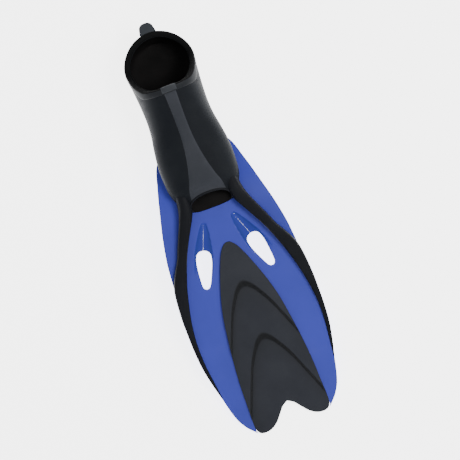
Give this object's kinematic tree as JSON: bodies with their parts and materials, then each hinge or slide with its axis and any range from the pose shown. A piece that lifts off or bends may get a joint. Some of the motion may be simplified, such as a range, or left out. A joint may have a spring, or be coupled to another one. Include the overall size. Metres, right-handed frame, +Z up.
{
  "type": "swim fin",
  "caption": "Full-foot swim fin: blue plastic blade with grey soft centre panel, dark rubber side rails, vents and a closed rubber foot pocket.",
  "frame": {"origin": "on the floor, under the middle of the fin's length and width", "axes": "+Y from the heel to the tip of the blade, +Z up from the floor, +X across; the fin rests on its heel pad and on the tip of its blade"},
  "size_m": [0.1968, 0.6023, 0.103],
  "materials": {
    "blue_plastic": "satin moulded polypropylene",
    "grey_panel": "matt soft rubber",
    "dark_rubber": "matt rubber with a soft sheen",
    "pocket_rubber": "matt moulded rubber",
    "collar_rubber": "matt moulded rubber",
    "grey_instep": "fine-grained matt rubber",
    "tab_rubber": "matt rubber",
    "badge_rubber": "matt rubber, bare",
    "sole_rubber": "matt rubber tread"
  },
  "bodies": {
    "root": {"blade": "blue_plastic", "centre_panel": "grey_panel", "left_rail": "dark_rubber", "right_rail": "dark_rubber", "foot_pocket": "pocket_rubber", "ankle_collar": "collar_rubber", "instep_panel": "grey_instep", "toe_rim": "dark_rubber", "heel_tab": "tab_rubber", "collar_badge": "badge_rubber", "outsole": "sole_rubber"}
  },
  "joints": []
}
